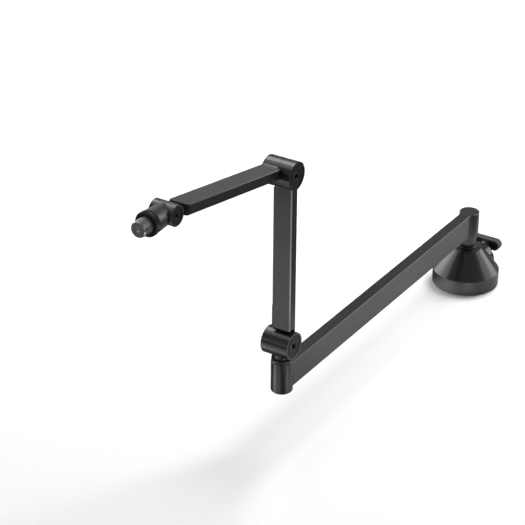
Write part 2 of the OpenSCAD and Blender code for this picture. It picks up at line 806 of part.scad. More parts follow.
module arm_pocket() {
  xa = tilt_r + 14;
  xb = arm_end - 18;
  block([xa, arm_y0 + bar_wall, arm_z0 - 1], [xb, arm_y1 - bar_wall, arm_z1 - bar_wall]);
  block([xa - 2, arm_y0 + bar_wall - strip_ledge, arm_z0 - 1],
    [xb + 2, arm_y1 - bar_wall + strip_ledge, arm_z0 + strip_t]);
}

module upper_arm() {
  color(satin_black) at_top_tilt() difference() {
    union() {
      arm_bar();
      ycyl(tilt_r, top_far_y, top_ear_y);
      knuckle_blend();
      mic_ear();
    }
    far_bores(top_ear_y, top_far_y, bolt_r, spring_r + pocket_gap, head_r, nut_depth, cap_depth);
    translate([arm_len, 0, arm_lift]) far_bores(mic_ear_y, mic_far_y, mic_bolt_r,
      mic_spring_r + pocket_gap, mic_head_r, mic_nut_depth, mic_cap_depth);
    arm_pocket();
  }
}

module upper_strip() {
  g = strip_gap;
  xa = tilt_r + 14;
  xb = arm_end - 18;
  color(satin_black) at_top_tilt()
    block([xa - 2 + g, arm_y0 + bar_wall - strip_ledge + g, arm_z0],
      [xb + 2 - g, arm_y1 - bar_wall + strip_ledge - g, arm_z0 + strip_t]);
}

module top_tilt_disc() {
  color(brass) at_top_tilt()
    hinge_ring(disc_r, bolt_r + seat_gap, top_ear_y, top_split_y + disc_sink - 0.02);
}
module top_tilt_bolt() {
  color(deep_black) at_top_tilt() hinge_bolt(near_y, top_far_y + cap_depth, head_r, bolt_r, socket_af);
}
module top_tilt_spring() {
  y0 = top_far_y + nut_depth - spring_t;
  color(steel) at_top_tilt() hinge_ring(spring_r, bolt_r + seat_gap, y0, y0 + spring_t);
}
module top_tilt_nut() {
  y0 = top_far_y + cap_depth;
  color(steel) at_top_tilt() hinge_nut(nut_r, bolt_r + seat_gap, y0, y0 + nut_t);
}
module top_tilt_cap() {
  color(satin_black) at_top_tilt() ycyl(head_r, top_far_y, top_far_y + cap_t);
}

// Pieces of the microphone hinge, which stay with the upper arm
module mic_tilt_disc() {
  color(brass) at_mic_tilt()
    hinge_ring(mic_disc_r, mic_bolt_r + seat_gap, mic_ear_y, mic_split_y + mic_disc_sink - 0.02);
}
module mic_tilt_bolt() {
  color(deep_black) at_mic_tilt()
    hinge_bolt(mic_near_y, mic_far_y + mic_cap_depth, mic_head_r, mic_bolt_r, mic_socket_af);
}
module mic_tilt_spring() {
  y0 = mic_far_y + mic_nut_depth - mic_spring_t;
  color(steel) at_mic_tilt() hinge_ring(mic_spring_r, mic_bolt_r + seat_gap, y0, y0 + mic_spring_t);
}
module mic_tilt_nut() {
  y0 = mic_far_y + mic_cap_depth;
  color(steel) at_mic_tilt() hinge_nut(mic_nut_r, mic_bolt_r + seat_gap, y0, y0 + mic_nut_t);
}
module mic_tilt_cap() {
  color(satin_black) at_mic_tilt() ycyl(mic_head_r, mic_far_y, mic_far_y + mic_cap_t);
}

// Microphone mount, in the microphone hinge's frame
module stub_frame() {
  translate([0, -arm_shift, 0]) rotate([0, 90, 0]) children();
}

module mic_body() {
  color(satin_black) at_mic_tilt() difference() {
    union() {
      ycyl(mic_tilt_r, mic_split_y, mic_near_y);
      stub_frame() rotate_extrude() polygon([[0, 0], [mic_tilt_r - root_step, 0],
        [stub_r, stub_len - 0.6], [stub_r - 0.6, stub_len], [0, stub_len]]);
    }
    ycyl(ear_gap_r, mic_far_y - 1, mic_split_y);
    near_bores(mic_near_y, mic_split_y, mic_head_r, mic_bolt_r, mic_disc_r, mic_disc_sink);
    stub_frame() translate([0, 0, stub_len - stud_in]) cylinder(h = stud_in + 1, r = stud_r + seat_gap);
  }
}

module mic_stud() {
  color(steel) at_mic_tilt() stub_frame() {
    rotate_extrude() polygon([[0, stub_len - stud_in], [stud_r, stub_len - stud_in],
      [stud_r, groove_x], [stud_r - groove_depth, groove_x],
      [stud_r - groove_depth, groove_x + groove_len], [stud_r, groove_x + groove_len],
      [stud_r, stud_end - 1], [stud_r - 0.9, stud_end], [0, stud_end]]);
  }
}

module thrust_washer() {
  color(nylon) at_mic_tilt() stub_frame()
    ring(ring_d / 2 - 1.6, stud_r + run_gap, thrust_x, thrust_x + thrust_t);
}

module lock_ring() {
  n = ring_teeth;
  ro = ring_d / 2;
  color(deep_black) at_mic_tilt() stub_frame() translate([0, 0, ring_x]) difference() {
    linear_extrude(height = ring_len) polygon([for (i = [0:2 * n - 1])
      (ro - (i % 2) * tooth_h) * [cos(180 * i / n), sin(180 * i / n)]]);
    translate([0, 0, -1]) cylinder(h = ring_len + 2, r = stud_r + run_gap);
  }
}

base_pad();
base_plate();
base_cover();
cover_screw_a();
cover_screw_b();
cover_screw_c();
base_bush_top();
base_bush_low();
clamp_tip();
clamp_screw();
clamp_bar();
lower_arm();
lower_strip();
base_spindle();
spindle_washer();
spindle_screw();
elbow_bush_top();
elbow_bush_low();
elbow_plug();
elbow_head();
elbow_collar();
elbow_washer();
elbow_screw();
upright();
upright_strip();
low_tilt_disc();
low_tilt_bolt();
low_tilt_spring();
low_tilt_nut();
low_tilt_cap();
upper_arm();
upper_strip();
top_tilt_disc();
top_tilt_bolt();
top_tilt_spring();
top_tilt_nut();
top_tilt_cap();
mic_tilt_disc();
mic_tilt_bolt();
mic_tilt_spring();
mic_tilt_nut();
mic_tilt_cap();
mic_body();
mic_stud();
thrust_washer();
lock_ring();
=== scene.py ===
"""Looks of a low desk boom arm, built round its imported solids."""

import logging
import math
from dataclasses import dataclass, field
from enum import Enum
from typing import Iterable, Sequence

import bmesh
import bpy
from mathutils import Matrix, Vector


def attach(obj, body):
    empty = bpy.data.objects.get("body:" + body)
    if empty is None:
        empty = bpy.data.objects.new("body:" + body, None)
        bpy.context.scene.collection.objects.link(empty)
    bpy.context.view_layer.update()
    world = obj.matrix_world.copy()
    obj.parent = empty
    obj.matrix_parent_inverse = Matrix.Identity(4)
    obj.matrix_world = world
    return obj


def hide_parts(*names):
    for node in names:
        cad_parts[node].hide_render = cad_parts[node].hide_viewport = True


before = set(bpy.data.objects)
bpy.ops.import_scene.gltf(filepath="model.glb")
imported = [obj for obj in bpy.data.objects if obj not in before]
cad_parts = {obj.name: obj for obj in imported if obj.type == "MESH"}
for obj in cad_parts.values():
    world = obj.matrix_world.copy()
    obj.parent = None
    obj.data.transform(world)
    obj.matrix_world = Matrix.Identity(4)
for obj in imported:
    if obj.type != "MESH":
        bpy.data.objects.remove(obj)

log = logging.getLogger("boom_arm")

Colour = tuple[float, float, float]
Point = tuple[float, float, float]
Loop = list[Point]

# One millimetre in metres. The pieces' sizes are in millimetres and degrees, the studio's in metres.
MM = 0.001

# Places of the elbow and the hinges. The end hinge's are along and above the upper arm, which rises.
ELBOW_X = 420.0
LOW_HINGE_Z = 120.5
TOP_HINGE_Z = 312.0
ARM_RISE = 9.66
ARM_MIDDLE = -7.3
MIC_HINGE_X = 190.6
MIC_HINGE_Z = 2.2

# How finely round shapes are cut: points in a loop, and short lines in a rounded corner.
ROUND = 96
ROUND_STUD = 72
ROUND_SMALL = 48
ROUND_CLAMP = 40
CORNER_STEPS = 3

# Points of a mesh that lie closer than this are joined.
WELD = 0.0005
# Corners steeper than this stay sharp.
SMOOTH_ANGLE = 32.0
# Faces that meet at less than this are merged into one flat.
FLAT_ANGLE = 0.6
# Corners steeper than this get a broken edge, of this many small faces.
EDGE_ANGLE = 38.0
EDGE_SEGMENTS = 2

# Clearance round a threaded piece, and depth of a thread as a share of its pitch.
CLEARANCE = 0.05
THREAD_DEPTH = 0.61

# Detail of the handling marks and the fine marks, and share of the fine ones in each mix.
BROAD_DETAIL = 3.0
FINE_DETAIL = 2.0
FINE_ROUGHNESS = 0.6
COLOUR_SHARE = 0.5
ROUGHNESS_SHARE = 0.35

# How far turning draws the fine marks out round the axis. A smaller number is longer.
DRAWN = 0.12


class Grain(Enum):
    """How a surface was finished, which sets the direction of its fine marks."""

    BLASTED = "blasted"
    TURNED_X = "turned about x"
    TURNED_Y = "turned about y"
    MOULDED = "moulded"


STRETCH = {
    Grain.BLASTED: (1.0, 1.0, 1.0),
    Grain.TURNED_X: (1.0, DRAWN, DRAWN),
    Grain.TURNED_Y: (DRAWN, 1.0, DRAWN),
    Grain.MOULDED: (1.0, 1.0, 1.0),
}


@dataclass(frozen=True)
class Finish:
    """One surface finish, and the node material that shows it.

    Attributes:
        name: name of the material.
        colour: base colour, linear.
        roughness: middle roughness.
        spread: how far the roughness varies.
        metal: metallic share.
        level: specular level.
        grain: direction of the fine marks.
        grain_size: size of the fine marks, in metres.
        bump: height of the fine marks, in metres.
        tone: how far the colour varies.
        marks: handling marks in one metre.
        low: value of the mixed marks that counts as none.
        high: value of the mixed marks that counts as full.
    """

    name: str
    colour: Colour
    roughness: float = 0.4
    spread: float = 0.05
    metal: float = 0.0
    level: float = 0.5
    grain: Grain = Grain.BLASTED
    grain_size: float = 0.0003
    bump: float = 0.000004
    tone: float = 0.12
    marks: float = 38.0
    low: float = 0.3
    high: float = 0.7

    def material(self) -> bpy.types.Material:
        """Makes the node material once and returns it after that.

        Returns:
            The material of this finish.
        """
        made = bpy.data.materials.get(self.name)
        if made is not None:
            return made
        made = bpy.data.materials.new(self.name)
        made.use_nodes = True
        tree = made.node_tree
        shader = tree.nodes["Principled BSDF"]
        shader.inputs["Metallic"].default_value = self.metal
        shader.inputs["Specular IOR Level"].default_value = self.level
        place = tree.nodes.new("ShaderNodeTexCoord")
        fine = self._fine(tree, place)
        broad = tree.nodes.new("ShaderNodeTexNoise")
        broad.inputs["Scale"].default_value = self.marks
        broad.inputs["Detail"].default_value = BROAD_DETAIL
        tree.links.new(place.outputs["Object"], broad.inputs["Vector"])
        self._colour(tree, self._mixed(tree, broad, fine, COLOUR_SHARE), shader)
        self._roughness(tree, self._mixed(tree, broad, fine, ROUGHNESS_SHARE), shader)
        bump = tree.nodes.new("ShaderNodeBump")
        bump.inputs["Strength"].default_value = 1.0
        bump.inputs["Distance"].default_value = self.bump
        tree.links.new(fine.outputs["Fac"], bump.inputs["Height"])
        tree.links.new(bump.outputs["Normal"], shader.inputs["Normal"])
        return made

    def _fine(self, tree: bpy.types.NodeTree, place: bpy.types.Node) -> bpy.types.Node:
        """Fine marks of the finish, stretched along the tool's path.

        Args:
            tree: the material's nodes.
            place: the texture coordinate node.

        Returns:
            The noise node whose Fac output holds the marks.
        """
        mapping = tree.nodes.new("ShaderNodeMapping")
        mapping.inputs["Scale"].default_value = STRETCH[self.grain]
        noise = tree.nodes.new("ShaderNodeTexNoise")
        noise.inputs["Scale"].default_value = 1.0 / self.grain_size
        noise.inputs["Detail"].default_value = FINE_DETAIL
        noise.inputs["Roughness"].default_value = FINE_ROUGHNESS
        tree.links.new(place.outputs["Object"], mapping.inputs["Vector"])
        tree.links.new(mapping.outputs["Vector"], noise.inputs["Vector"])
        return noise

    @staticmethod
    def _mixed(tree: bpy.types.NodeTree, broad: bpy.types.Node, fine: bpy.types.Node,
               share: float) -> bpy.types.NodeSocket:
        """Mixes the handling marks with the fine marks.

        Args:
            tree: the material's nodes.
            broad: noise of the handling marks.
            fine: noise of the fine marks.
            share: how much of the mix the fine marks are.

        Returns:
            The socket that holds the mix.
        """
        both = tree.nodes.new("ShaderNodeMix")
        both.data_type = "FLOAT"
        both.inputs[0].default_value = share
        tree.links.new(broad.outputs["Fac"], both.inputs[2])
        tree.links.new(fine.outputs["Fac"], both.inputs[3])
        return both.outputs[0]

    def _colour(self, tree: bpy.types.NodeTree, mix: bpy.types.NodeSocket,
                shader: bpy.types.Node) -> None:
        """Varies the base colour a little over the surface.

        Args:
            tree: the material's nodes.
            mix: the socket with the marks.
            shader: the node that takes the colour.
        """
        ramp = tree.nodes.new("ShaderNodeValToRGB")
        dark, light = ramp.color_ramp.elements
        dark.position, light.position = self.low, self.high
        dark.color = (*[c * (1.0 - self.tone) for c in self.colour], 1.0)
        light.color = (*[min(1.0, c * (1.0 + self.tone)) for c in self.colour], 1.0)
        tree.links.new(mix, ramp.inputs["Fac"])
        tree.links.new(ramp.outputs["Color"], shader.inputs["Base Color"])

    def _roughness(self, tree: bpy.types.NodeTree, mix: bpy.types.NodeSocket,
                   shader: bpy.types.Node) -> None:
        """Varies the roughness with the handling marks and the fine marks.

        Args:
            tree: the material's nodes.
            mix: the socket with the marks.
            shader: the node that takes the roughness.
        """
        span = tree.nodes.new("ShaderNodeMapRange")
        span.inputs["From Min"].default_value = self.low
        span.inputs["From Max"].default_value = self.high
        span.inputs["To Min"].default_value = self.roughness - self.spread
        span.inputs["To Max"].default_value = self.roughness + self.spread
        tree.links.new(mix, span.inputs["Value"])
        tree.links.new(span.outputs["Result"], shader.inputs["Roughness"])


SATIN = Finish("satin_anodised", (0.012, 0.012, 0.0125), roughness=0.22, spread=0.03, level=1.0,
               grain_size=0.0004)
SATIN_TURNED = Finish("satin_anodised_turned", (0.012, 0.012, 0.0125), roughness=0.26, spread=0.03,
                      level=1.0, grain=Grain.TURNED_Y, grain_size=0.00035)
CAST = Finish("satin_cast", (0.02, 0.02, 0.0205), roughness=0.36, spread=0.03, level=1.2, grain_size=0.0004)
DEEP = Finish("deep_black", (0.006, 0.006, 0.006), roughness=0.42, grain_size=0.0003)
DEEP_TURNED = Finish("deep_black_turned", (0.007, 0.007, 0.007), roughness=0.38, grain=Grain.TURNED_Y,
                     grain_size=0.0003)
MOULDED = Finish("moulded_black", (0.04, 0.04, 0.04), roughness=0.48, level=0.8, grain=Grain.MOULDED,
                 grain_size=0.0005, bump=0.00001)
STEEL = Finish("turned_steel", (0.55, 0.55, 0.56), roughness=0.3, metal=1.0, grain=Grain.TURNED_X,
               grain_size=0.0002)
STEEL_DARK = Finish("dark_steel", (0.22, 0.22, 0.225), roughness=0.35, metal=1.0, grain_size=0.0002)
BRASS = Finish("turned_brass", (0.6, 0.42, 0.18), roughness=0.35, metal=1.0, grain_size=0.0002)
RUBBER = Finish("black_rubber", (0.01, 0.01, 0.01), roughness=0.8, grain_size=0.0004, bump=0.00002)
NYLON = Finish("white_nylon", (0.62, 0.61, 0.57), roughness=0.5, grain_size=0.0006)


def circle(radius: float, height: float, count: int = ROUND) -> Loop:
    """Round loop about the local Z axis."""
    steps = [2.0 * math.pi * i / count for i in range(count)]
    return [(radius * math.cos(a), radius * math.sin(a), height) for a in steps]


def hexagon(flats: float, height: float, count: int = ROUND) -> Loop:
    """Six-sided loop with as many points as a round one, so that the two can be joined.

    Args:
        flats: size across flats.
        height: place along the local Z axis.
        count: number of points.

    Returns:
        The loop.
    """
    loop = []
    for i in range(count):
        a = 2.0 * math.pi * i / count
        off = (a + math.pi / 6.0) % (math.pi / 3.0) - math.pi / 6.0
        r = flats / 2.0 / math.cos(off)
        loop.append((r * math.cos(a), r * math.sin(a), height))
    return loop


def toothed(radius: float, depth: float, teeth: int, height: float, count: int) -> Loop:
    """Round loop with straight knurl teeth, flat on top and V-shaped between.

    Args:
        radius: outer radius.
        depth: depth of the teeth.
        teeth: number of teeth.
        height: place along the local Z axis.
        count: number of points.

    Returns:
        The loop.
    """
    steep, top = 1.25, 0.12
    loop = []
    for i in range(count):
        a = 2.0 * math.pi * i / count
        share = abs((a * teeth / (2.0 * math.pi)) % 1.0 - 0.5) * 2.0
        r = radius - depth * min(1.0, max(0.0, steep * share - top))
        loop.append((r * math.cos(a), r * math.sin(a), height))
    return loop


def eased(points: Sequence[Point]) -> list[tuple[float, float]]:
    """Rounds the corners of a turned profile.

    Args:
        points: radius, height and size of the rounding of each corner.

    Returns:
        Radius and height of each point of the rounded profile.
    """
    out: list[tuple[float, float]] = []
    last = len(points) - 1
    for i, (r, z, size) in enumerate(points):
        if size <= 0.0 or i in (0, last):
            out.append((r, z))
            continue
        here = Vector((r, z))
        back = (Vector(points[i - 1][:2]) - here).normalized() * size
        ahead = (Vector(points[i + 1][:2]) - here).normalized() * size
        for k in range(CORNER_STEPS + 1):
            t = k / CORNER_STEPS
            spot = here + back * (1.0 - t) ** 2 + ahead * t ** 2
            out.append((spot.x, spot.y))
    return out


def turned(points: Sequence[Point], count: int = ROUND) -> list[Loop]:
    """Loops of a lathe-turned shape, from its profile of radius, height and rounding."""
    return [circle(r, z, count) for r, z in eased(points)]


def groove(radii: Sequence[float], face: float, floor: float) -> list[Point]:
    """Corners of a groove that is turned into a flat face, from its outside in.

    Args:
        radii: radius of the outer rim, of the floor's two ends and, if it has one, of the inner rim.
        face: height of the face.
        floor: height of the groove's floor.

    Returns:
        Radius, height and rounding of each corner.
    """
    rim, root = 0.15, 0.1
    return list(zip(radii, (face, floor, floor, face), (rim, root, root, rim)))


def thread(radius: float, pitch: float, low: float, high: float, lead: float, count: int) -> list[Loop]:
    """Loops of a right-hand screw thread along the local Z axis.

    Args:
        radius: outer radius of the thread.
        pitch: advance in one turn.
        low: where the thread starts.
        high: where the thread ends.
        lead: length of the chamfer at the far end.
        count: points in one turn.

    Returns:
        Loops that climb with the helix and are trimmed flat at both ends.
    """
    depth = THREAD_DEPTH * pitch
    below_root = 0.1
    cuts = (0.0, 0.0, 0.3, 0.7, 1.0, 1.0, 0.7, 0.3)
    fine = len(cuts)
    loops = []
    for k in range(-fine, int((high - low) / pitch * fine) + 1):
        loop = []
        for i in range(count):
            a = 2.0 * math.pi * i / count
            z = low + pitch * (k / fine + i / count)
            z = min(high, max(low, z))
            chamfer = radius - depth - below_root + max(0.0, high - z) / lead * depth
            r = min(radius - depth * cuts[k % fine], chamfer)
            loop.append((r * math.cos(a), r * math.sin(a), z))
        loops.append(loop)
    return loops


def strip_screw() -> list[Loop]:
    """Loops of a small screw with a hex socket, nearly level with the strip that it holds.

    Returns:
        The loops, from under the head to the bottom of the socket.
    """
    head, rim, flats = 1.55, 0.95, 1.3
    under, top, rounding = -0.25, 0.08, 0.08
    mouth, bottom = -0.05, -0.22
    rows = turned([(head, under, 0), (head, top, rounding), (rim, top, 0)], ROUND_SMALL)
    return rows + [hexagon(flats, mouth, ROUND_SMALL), hexagon(flats, bottom, ROUND_SMALL)]


def moved(x: float, y: float, z: float) -> Matrix:
    """Frame moved by millimetres."""
    return Matrix.Translation((x * MM, y * MM, z * MM))


def spun(angle: float, axis: str) -> Matrix:
    """Frame turned by degrees about an axis."""
    return Matrix.Rotation(math.radians(angle), 4, axis)


def hinge_frame(x: float, z: float, rise: float = 0.0) -> Matrix:
    """Frame on a hinge's axis, whose local Z points along the hinge to the near side."""
    return moved(x, 0.0, z) @ spun(-rise, "Y") @ spun(-90.0, "X")


@dataclass
class SubAssembly:
    """What every sub-assembly can do: turn stacks of loops into pieces and dress solids.

    Attributes:
        body: body that the pieces move with.
    """

    body: str

    def build(self) -> None:
        """Builds and dresses the pieces, in each sub-assembly's own way."""
        raise NotImplementedError

    def piece(self, name: str, stacks: Sequence[list[Loop]], frame_at: Matrix, finish: Finish,
              slot: str, stands_for: Sequence[str] = (), ring: bool = False,
              body: str = "") -> bpy.types.Object:
        """Makes one piece from stacks of loops.

        Args:
            name: name of the piece.
            stacks: each a list of loops, in millimetres in the local frame.
            frame_at: local frame, in metres.
            finish: finish of the surface.
            slot: material slot of the record; not used.
            stands_for: solids that the piece replaces.
            ring: True if the last loop joins the first.
            body: body to ride on, if not the sub-assembly's own.

        Returns:
            The new object.
        """
        shape = bmesh.new()
        for loops in stacks:
            self._stack(shape, loops, ring)
        bmesh.ops.remove_doubles(shape, verts=shape.verts, dist=WELD)
        bmesh.ops.recalc_face_normals(shape, faces=shape.faces)
        mesh = bpy.data.meshes.new(name)
        shape.to_mesh(mesh)
        shape.free()
        mesh.transform(frame_at @ Matrix.Scale(MM, 4))
        mesh.materials.append(finish.material())
        for face in mesh.polygons:
            face.use_smooth = True
        mesh.set_sharp_from_angle(angle=math.radians(SMOOTH_ANGLE))
        made = bpy.data.objects.new(name, mesh)
        bpy.context.scene.collection.objects.link(made)
        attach(made, body or self.body)
        if stands_for:
            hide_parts(*stands_for)
        log.info("%s: %d faces on %s", name, len(mesh.polygons), body or self.body)
        return made

    @staticmethod
    def _stack(shape: bmesh.types.BMesh, loops: list[Loop], ring: bool) -> None:
        """Adds one stack of loops, joined one to the next, to a mesh.

        Args:
            shape: mesh that takes the faces.
            loops: loops with the same number of points.
            ring: True if the last loop joins the first, and False for closed ends.
        """
        rows = [[shape.verts.new(point) for point in loop] for loop in loops]
        pairs = list(zip(rows, rows[1:]))
        if ring:
            pairs.append((rows[-1], rows[0]))
        else:
            shape.faces.new(list(reversed(rows[0])))
            shape.faces.new(rows[-1])
        for low, high in pairs:
            for i, corner in enumerate(low):
                j = (i + 1) % len(low)
                shape.faces.new((corner, low[j], high[j], high[i]))

    def dress(self, names: Iterable[str], finish: Finish, edge: float = 0.0) -> None:
        """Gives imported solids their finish, and breaks their sharp edges.

        Args:
            names: nodes to dress.
            finish: finish of the surface.
            edge: width of the broken edges in millimetres, or 0 for none.
        """
        for name in names:
            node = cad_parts[name]
            node.data.materials.clear()
            node.data.materials.append(finish.material())
            if edge > 0.0:
                flat = node.modifiers.new("merge flats", "DECIMATE")
                flat.decimate_type = "DISSOLVE"
                flat.angle_limit = math.radians(FLAT_ANGLE)
                broken = node.modifiers.new("broken edges", "BEVEL")
                broken.width = edge * MM
                broken.segments = EDGE_SEGMENTS
                broken.limit_method = "ANGLE"
                broken.angle_limit = math.radians(EDGE_ANGLE)
                broken.use_clamp_overlap = True
                broken.harden_normals = True
            log.info("%s: %s", name, finish.name)

    def strip_screws(self, stem: str, places: Iterable[Matrix]) -> None:
        """Adds the screws that hold a closing strip.

        Args:
            stem: start of the screws' names.
            places: frame of each screw's head, with Z outward.
        """
        for number, place in enumerate(places, 1):
            self.piece(f"{stem}_{number}", [strip_screw()], place, STEEL_DARK, "steel")


@dataclass
class Base(SubAssembly):
    """Round weighted foot with its cone, bearing ring and the thread for the desk bolt.

    Attributes:
        body: body of the foot.
        edge: broken edges of the cover, the plate and the pad.
        ring_edge: broken edges of the bearing ring.
        screw_edge: broken edges of the cover's screws.
    """

    body: str = "base"
    edge: float = 0.3
    ring_edge: float = 0.12
    screw_edge: float = 0.2

    def build(self) -> None:
        """Dresses the foot's solids."""
        self.dress(["base_cover"], SATIN, self.edge)
        self.dress(["base_bush_top"], SATIN_TURNED, self.ring_edge)
        self.dress(["base_plate"], DEEP, self.edge)
        self.dress(["base_pad"], RUBBER, self.edge)
        self.dress(["base_bush_low"], BRASS)
        self.dress(["cover_screw_a", "cover_screw_b", "cover_screw_c"], STEEL, self.screw_edge)


@dataclass
class ClampScrew(SubAssembly):
    """Clamp screw with its ribbed bar handle and soft tip.

    Attributes:
        body: body of the handle.
        height: height of the screw's axis.
        radius: outer radius of the thread.
        pitch: pitch of the thread.
        lead: chamfer at the thread's end.
        low: where the screw starts, from the base's axis.
        sunk: how far the screw's end lies below the handle's outer side.
        bar: where the handle starts, from the base's axis.
        length: length of the handle.
        width: width of the handle across its long side.
        depth: size of the handle along the screw.
        rib: spacing of the grip ribs.
        rib_points: points of the outline in one rib.
        groove: depth between the grip ribs.
        insert_radius: outer radius of the insert that holds the screw.
        insert_proud: how far the insert stands out of the handle.
        insert_depth: how far it reaches in.
        insert_edge: rounding of its outer corner.
        tip_edge: broken edges of the tip.
    """

    body: str = "clamp_handle"
    height: float = 29.5
    radius: float = 3.0
    pitch: float = 1.0
    lead: float = 0.6
    low: float = 12.12
    sunk: float = 1.0
    bar: float = 48.0
    length: float = 39.0
    width: float = 13.4
    depth: float = 10.0
    rib: float = 1.8
    rib_points: int = 8
    groove: float = 0.3
    insert_radius: float = 5.0
    insert_proud: float = 0.3
    insert_depth: float = 5.5
    insert_edge: float = 0.4
    tip_edge: float = 0.2

    def build(self) -> None:
        """Builds the screw and the handle, and dresses the tip."""
        at = moved(0.0, 0.0, self.height) @ spun(-90.0, "Y")
        end = self.bar + self.depth - self.sunk
        screw = thread(self.radius, self.pitch, self.low, end, self.lead, ROUND_CLAMP)
        self.piece("clamp_thread", [screw], at, STEEL, "steel", ["clamp_screw"])
        self.piece("bar_handle", [self._handle()], at, MOULDED, "black_plastic", ["clamp_bar"])
        bore, outside = self.radius + CLEARANCE, self.insert_radius
        near, far = self.bar - self.insert_proud, self.bar + self.insert_depth
        boss = turned([(bore, near, 0), (outside, near, self.insert_edge), (outside, far, 0),
                       (bore, far, 0)], ROUND_SMALL)
        self.piece("bar_insert", [boss], at, STEEL_DARK, "steel", ring=True)
        self.dress(["clamp_tip"], NYLON, self.tip_edge)

    def _outline(self, inset: float, height: float, ribs: float) -> Loop:
        """Long round-ended loop of the handle.

        Args:
            inset: how far the loop lies inside the handle's outline.
            height: place along the screw.
            ribs: depth of the grip grooves at this place.

        Returns:
            The loop, with its long side along the local Y.
        """
        r = self.width / 2.0
        half = self.length / 2.0 - r
        bend = math.pi * r
        around = 4.0 * half + 2.0 * bend
        count = round(around / self.rib) * self.rib_points
        loop = []
        for i in range(count):
            s = around * i / count
            dip = ribs * max(0.0, math.cos(2.0 * math.pi * i / self.rib_points)) ** 1.5
            reach = r - inset - dip
            if s < half:
                x, y = reach, s
            elif s < half + bend:
                a = (s - half) / r
                x, y = reach * math.cos(a), half + reach * math.sin(a)
            elif s < 3.0 * half + bend:
                x, y = -reach, half - (s - half - bend)
            elif s < 3.0 * half + 2.0 * bend:
                a = math.pi + (s - 3.0 * half - bend) / r
                x, y = reach * math.cos(a), -half + reach * math.sin(a)
            else:
                x, y = reach, -half + (s - 3.0 * half - 2.0 * bend)
            loop.append((x, y, height))
        return loop

    def _handle(self) -> list[Loop]:
        """Loops of the handle, hollow on the base's side and dished on the other.

        Returns:
            The loops, from the hollow's floor to the dish's.
        """
        low, top, deep = self.bar, self.bar + self.depth, self.groove
        shallow = deep * 0.3
        hollow = [(2.3, low + 5.0, 0), (2.1, low + 0.4, 0), (1.9, low, 0)]
        grip = [(0.7, low, shallow), (0.3, low + 0.2, deep), (0.0, low + 0.8, deep),
                (0.0, top - 0.9, deep), (0.3, top - 0.3, deep), (0.8, top, shallow)]
        dish = [(2.2, top, 0), (2.7, top - 0.5, 0)]
        return [self._outline(inset, place, ribs) for inset, place, ribs in hollow + grip + dish]


@dataclass
class LowerArm(SubAssembly):
    """Lower arm on its swivel, with the elbow barrel, bushes, spindle and strip.

    Attributes:
        body: body of the arm.
        edge: broken edges of the arm.
        strip_edge: broken edges of the strip.
        small_edge: broken edges of the spindle, the bushes and the plug.
        strip_from: first strip screw's place along the arm.
        strip_to: last strip screw's place.
        strip_z: height of the strip's face.
        shares: place of each strip screw between the first and the last.
    """

    body: str = "lower_arm"
    edge: float = 0.22
    strip_edge: float = 0.1
    small_edge: float = 0.2
    strip_from: float = 24.0
    strip_to: float = 392.0
    strip_z: float = 64.8
    shares: tuple[float, ...] = (0.0, 0.333, 0.667, 1.0)

    def build(self) -> None:
        """Dresses the arm's solids and adds the strip's screws."""
        self.dress(["lower_arm"], SATIN, self.edge)
        self.dress(["lower_strip"], SATIN, self.strip_edge)
        self.dress(["base_spindle", "spindle_washer"], STEEL, self.small_edge)
        self.dress(["spindle_screw", "elbow_plug"], DEEP, self.small_edge)
        self.dress(["elbow_bush_top"], SATIN_TURNED, self.small_edge)
        self.dress(["elbow_bush_low"], BRASS)
        span = self.strip_to - self.strip_from
        along = [self.strip_from + share * span for share in self.shares]
        self.strip_screws("lower_strip_screw",
                          [moved(x, 0.0, self.strip_z) @ spun(180.0, "X") for x in along])


@dataclass
class ElbowHead(SubAssembly):
    """Post and lower hinge barrel that turn on the elbow.

    Attributes:
        body: body of the head.
        edge: broken edges of the head.
        collar_low: underside of the black collar.
        collar_high: top of the collar.
        collar_radius: outer radius of the collar.
        rim_radius: inner radius of the collar's rim.
        rim: height of that rim.
        post_radius: radius of the shaft in the collar.
    """

    body: str = "elbow"
    edge: float = 0.25
    collar_low: float = 102.4
    collar_high: float = 104.2
    collar_radius: float = 11.0
    rim_radius: float = 9.6
    rim: float = 0.02
    post_radius: float = 8.04

    def build(self) -> None:
        """Dresses the head and turns its collar."""
        self.dress(["elbow_head"], SATIN_TURNED, self.edge)
        self.dress(["elbow_washer"], STEEL)
        self.dress(["elbow_screw"], DEEP)
        low, top, inner = self.collar_low, self.collar_high, self.collar_high - self.rim
        rows = turned([(self.post_radius, low, 0.1), (self.collar_radius, low, 0.25),
                       (self.collar_radius, top, 0.45), (self.rim_radius, top, 0.1),
                       (self.rim_radius, inner, 0), (self.post_radius, inner, 0)])
        self.piece("elbow_ring", [rows], moved(ELBOW_X, 0.0, 0.0), DEEP, "black_metal", ["elbow_collar"],
                   ring=True)


